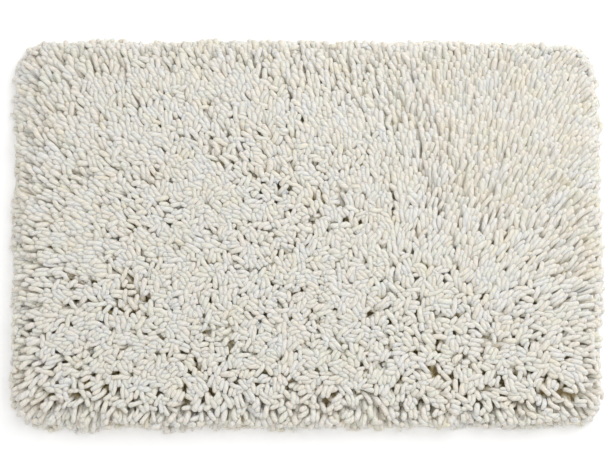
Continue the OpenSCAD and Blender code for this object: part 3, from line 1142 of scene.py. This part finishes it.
def pileMaterial():
    # Twisted yarn: each tuft has its own tint, has painted warm shade near its root, and ages in patches
    look = pileLook
    material, shader, add, link = newMaterial(
        "pile yarn", Roughness=look["roughness"], Specular_IOR_Level=0.25, Sheen_Weight=look["sheen"],
        Sheen_Roughness=0.5, Subsurface_Weight=look["through"], Subsurface_Radius=(1.0, 0.85, 0.65),
        Subsurface_Scale=look["throughDepth"])
    tint = add("ShaderNodeAttribute", attribute_name="tint").outputs["Fac"]
    rise = add("ShaderNodeAttribute", attribute_name="rise").outputs["Fac"]
    twisted = placeGroup(add, twist, Turns=look["turns"], Seed=maths(add, "MULTIPLY", tint, 431.0))
    tints = add("ShaderNodeValToRGB", {"Fac": tint})
    setRamp(tints, look["tints"])
    fibres = ranged(add, twisted["Fibre"], 0.0, 1.0, look["fibreDark"], 1.0)
    grooves = ranged(add, twisted["Groove"], 0.3, 0.8, look["groove"], 1.0)
    shade = maths(add, "MULTIPLY", fibres, grooves)
    colour = mixColour(add, "MULTIPLY", 1.0, tints.outputs["Color"], shade)
    where = add("ShaderNodeTexCoord").outputs["Object"]
    patchy = placeGroup(add, patches, Vector=where, Size=look["patch"])
    aged = maths(add, "MULTIPLY", patchy["Mask"], look["agedShare"])
    colour = mixColour(add, "MULTIPLY", aged, colour, look["aged"])
    # painted warm shade towards the roots, deep in the pile
    colour = mixColour(add, "MIX", ranged(add, rise, *look["rootShadeRise"], 1.0, 0.0), colour, look["root"])
    link(colour, shader.inputs["Base Color"])
    link(bumpFrom(add, twisted["Height"], look["bump"], look["bumpDepth"]), shader.inputs["Normal"])
    return material


# threadGapShade: painted shade between threads, the share of the colour left there
canvasLook = {
    "map": None, "warp": 900.0, "weft": 820.0, "repeat": 2.0, "patch": 0.05, "aged": 0.5,
    "colour": (0.80, 0.72, 0.53, 1), "weftColour": (0.76, 0.68, 0.49, 1), "threadGapShade": 0.66,
    "roughness": 0.93, "specular": 0.15, "sheen": 0.1, "bump": 0.8, "depth": 0.0004,
}
tapeLook = {
    "map": "weave", "warp": 1150.0, "weft": 1500.0, "repeat": 4.0, "patch": 0.07, "aged": 0.35,
    "colour": (0.80, 0.78, 0.70, 1), "weftColour": (0.75, 0.73, 0.65, 1), "threadGapShade": 0.70,
    "roughness": 0.88, "specular": 0.25, "sheen": 0.2, "bump": 0.75, "depth": 0.00025,
}
labelLook = {
    "map": "weave", "warp": 5200.0, "weft": 3600.0, "repeat": 5.0, "patch": 0.02, "aged": 0.12,
    "colour": (0.87, 0.87, 0.85, 1), "weftColour": (0.83, 0.83, 0.81, 1), "threadGapShade": 0.90,
    "roughness": 0.42, "specular": 0.45, "sheen": 0.1, "bump": 0.4, "depth": 0.00005,
}
agedCloth = (0.93, 0.89, 0.80, 1)
threadLook = {
    "colour": (0.86, 0.85, 0.80, 1), "roughness": 0.5, "turns": 3.0, "bump": 0.6, "depth": 0.00012,
}
rubberLook = {
    "colour": (0.72, 0.70, 0.63, 1), "dust": (0.60, 0.57, 0.49, 1), "worn": (0.80, 0.79, 0.74, 1),
    "patch": 0.09, "bump": 0.5, "depth": 0.00012, "pits": 700.0,
    "hollow": (0.00018, 0.00058),  # heights from the ridges to the hollows between them
    "roughness": (0.52, 0.78),
}


def clothMaterial(name, look):
    # Woven cloth: the thread on top a lighter tone, painted shade between threads, patchy, fibres on each
    # thread
    material, shader, add, link = newMaterial(
        name, Roughness=look["roughness"], Sheen_Weight=look["sheen"],
        Specular_IOR_Level=look["specular"])
    flat = add("ShaderNodeTexCoord").outputs["Object"]
    where = add("ShaderNodeUVMap", uv_map=look["map"]).outputs["UV"] if look["map"] else flat
    woven = placeGroup(add, weave, Vector=where, Warp=look["warp"], Weft=look["weft"],
                       Repeat=look["repeat"])
    # painted shade: darker where the weave is low, between threads
    threadGapShade = ranged(add, woven["Height"], 0.1, 0.7, look["threadGapShade"], 1.0)
    shade = maths(add, "MULTIPLY", threadGapShade, ranged(add, woven["Fibre"], 0.3, 0.7, 0.93, 1.03))
    colour = mixColour(add, "MIX", woven["Over"], look["weftColour"], look["colour"])
    colour = mixColour(add, "MULTIPLY", 1.0, colour, shade)
    patchy = placeGroup(add, patches, Vector=flat, Size=look["patch"])
    aged = maths(add, "MULTIPLY", patchy["Mask"], look["aged"])
    colour = mixColour(add, "MULTIPLY", aged, colour, agedCloth)
    height = maths(add, "MULTIPLY_ADD", woven["Fibre"], 0.35, woven["Height"])
    link(colour, shader.inputs["Base Color"])
    link(bumpFrom(add, height, look["bump"], look["depth"]), shader.inputs["Normal"])
    return material


def threadMaterial():
    # Twisted polyester sewing thread
    look = threadLook
    material, shader, add, link = newMaterial(
        "sewing thread", Roughness=look["roughness"], Sheen_Weight=0.15)
    twisted = placeGroup(add, twist, Turns=look["turns"])
    # painted shade in the grooves between the plies
    shade = ranged(add, twisted["Groove"], 0.2, 0.8, 0.72, 1.0)
    link(mixColour(add, "MULTIPLY", 1.0, look["colour"], shade), shader.inputs["Base Color"])
    link(bumpFrom(add, twisted["Height"], look["bump"], look["depth"]), shader.inputs["Normal"])
    return material


def rubberMaterial():
    # Latex: pitted where bubbles broke, worn pale and smoother on the ridges, dusty between them
    look = rubberLook
    material, shader, add, link = newMaterial("latex back", Specular_IOR_Level=0.4)
    where = add("ShaderNodeTexCoord").outputs["Object"]
    height = add("ShaderNodeSeparateXYZ", {"Vector": where}).outputs["Z"]
    hollow = ranged(add, height, *look["hollow"])
    patchy = placeGroup(add, patches, Vector=where, Size=look["patch"])
    bubbles = add("ShaderNodeTexVoronoi", {"Vector": where, "Scale": look["pits"], "Randomness": 1.0})
    pit = ranged(add, bubbles.outputs["Distance"], 0.05, 0.3)
    dusty = maths(add, "MULTIPLY", maths(add, "MULTIPLY", hollow, patchy["Mask"]), 0.75)
    ridge = maths(add, "MULTIPLY", maths(add, "SUBTRACT", 1.0, hollow), 0.5)
    colour = mixColour(add, "MIX", ridge, look["colour"], look["worn"])
    colour = mixColour(add, "MIX", dusty, colour, look["dust"])
    colour = mixColour(add, "MULTIPLY", 1.0, colour, ranged(add, pit, 0.0, 1.0, 0.86, 1.0))
    relief = maths(add, "MULTIPLY_ADD", patchy["Specks"], 0.8, pit)
    link(colour, shader.inputs["Base Color"])
    link(ranged(add, patchy["Specks"], 0.3, 0.7, *look["roughness"]), shader.inputs["Roughness"])
    link(bumpFrom(add, relief, look["bump"], look["depth"]), shader.inputs["Normal"])
    return material


cotton = pileMaterial()
for piece in pilePieces:
    piece.data.materials.append(cotton)
canvas.data.materials.append(clothMaterial("cotton canvas", canvasLook))
rubberBack.data.materials.append(rubberMaterial())
binding.data.materials.append(clothMaterial("twill tape", tapeLook))
satinLabel.data.materials.append(clothMaterial("satin label", labelLook))
polyester = threadMaterial()
for piece in (hemStitches, labelStitches):
    piece.data.materials.append(polyester)
report("materials")


studio = {
    "floor": (0.97, 0.97, 0.97, 1),
    "floorGlow": 0.12,        # a lit table: its shadow stays pale
    "world": (1.0, 1.0, 1.0, 1),
    "worldStrength": 0.790,
    "keyPower": 18,
    "keySize": 1.8,
    "keyPlace": (1.0, 0.9, 1.4),
    "bounces": 10,            # light goes from yarn to yarn, deep into the pile
    "sensor": 36,
    "distance": 3.2,          # camera to the mat
    "elevation": 82,          # degrees above the horizon, from the front
    "acrossPicture": 0.794,   # width of the floor across the picture
    "middle": (-0.0028, 0.0040),  # point of the floor in the middle of the picture
}


def makeFloor():
    # A wide flat square
    half = 40.0
    points = np.array([[-half, -half, 0], [half, -half, 0], [half, half, 0], [-half, half, 0]])
    floor = makeMesh("floor", points, np.array([[0, 1, 2, 3]]), np.zeros((0, 3), int))
    floor.data.materials.append(newMaterial(
        "floor", Base_Color=studio["floor"], Emission_Color=(1, 1, 1, 1),
        Emission_Strength=studio["floorGlow"], Roughness=0.9, Specular_IOR_Level=0.1)[0])


def makeLights():
    # A white room and one large soft lamp, turned to the middle of the mat
    world = bpy.data.worlds.new("studio")
    world.use_nodes = True
    background = world.node_tree.nodes["Background"]
    background.inputs["Color"].default_value = studio["world"]
    background.inputs["Strength"].default_value = studio["worldStrength"]
    bpy.context.scene.world = world
    key = bpy.data.lights.new("key", "AREA")
    key.energy = studio["keyPower"]
    key.size = studio["keySize"]
    lamp = bpy.data.objects.new("key", key)
    lamp.location = studio["keyPlace"]
    lamp.rotation_euler = (-lamp.location).to_track_quat("-Z", "Y").to_euler()
    bpy.context.scene.collection.objects.link(lamp)


def makeCamera():
    # The lens is as long as the distance times the sensor over the width that it takes in
    data = bpy.data.cameras.new("camera")
    data.sensor_width = studio["sensor"]
    data.lens = studio["sensor"] * studio["distance"] / studio["acrossPicture"]
    camera = bpy.data.objects.new("camera", data)
    tilt = math.radians(studio["elevation"])
    x, y = studio["middle"]
    camera.location = (x, y - studio["distance"] * math.cos(tilt), studio["distance"] * math.sin(tilt))
    camera.rotation_euler = (math.pi / 2 - tilt, 0, 0)
    bpy.context.scene.collection.objects.link(camera)
    bpy.context.scene.camera = camera
    bpy.context.scene.view_settings.view_transform = "Standard"
    bpy.context.scene.cycles.diffuse_bounces = studio["bounces"]


makeFloor()
makeLights()
makeCamera()
report("stage set")
